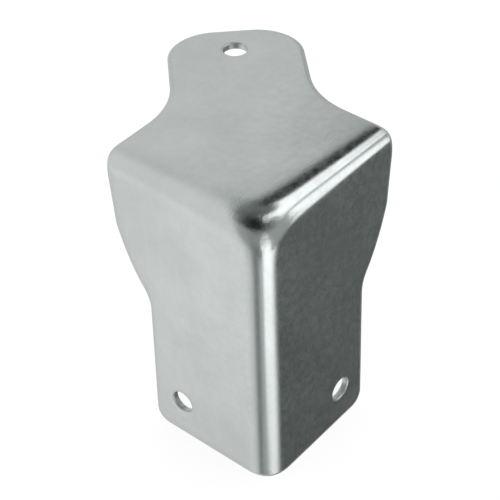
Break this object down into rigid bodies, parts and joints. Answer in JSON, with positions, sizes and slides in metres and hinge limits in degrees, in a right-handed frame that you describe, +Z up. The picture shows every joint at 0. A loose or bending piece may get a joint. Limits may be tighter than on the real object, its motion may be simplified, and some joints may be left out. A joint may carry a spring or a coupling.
{
  "type": "flight case corner",
  "caption": "Pressed steel corner cover for a flight case: shaped walls and a top plate with a rounded tab, joined by soft folds and pierced for rivets.",
  "frame": {"origin": "the case's own corner, where the three inner faces of the pressing would meet if they were not folded round", "axes": "+Z up, out through the top plate. The front wall faces -Y and the right wall faces +X, so the case runs away from the corner along -X, +Y and -Z"},
  "size_m": [0.0566, 0.0566, 0.0682],
  "materials": {
    "zinc_plated_steel": "bright zinc plating over drawn sheet, satin, with faint mottling and draw marks at the folds"
  },
  "bodies": {
    "root": {"case_corner": "zinc_plated_steel"}
  },
  "joints": []
}
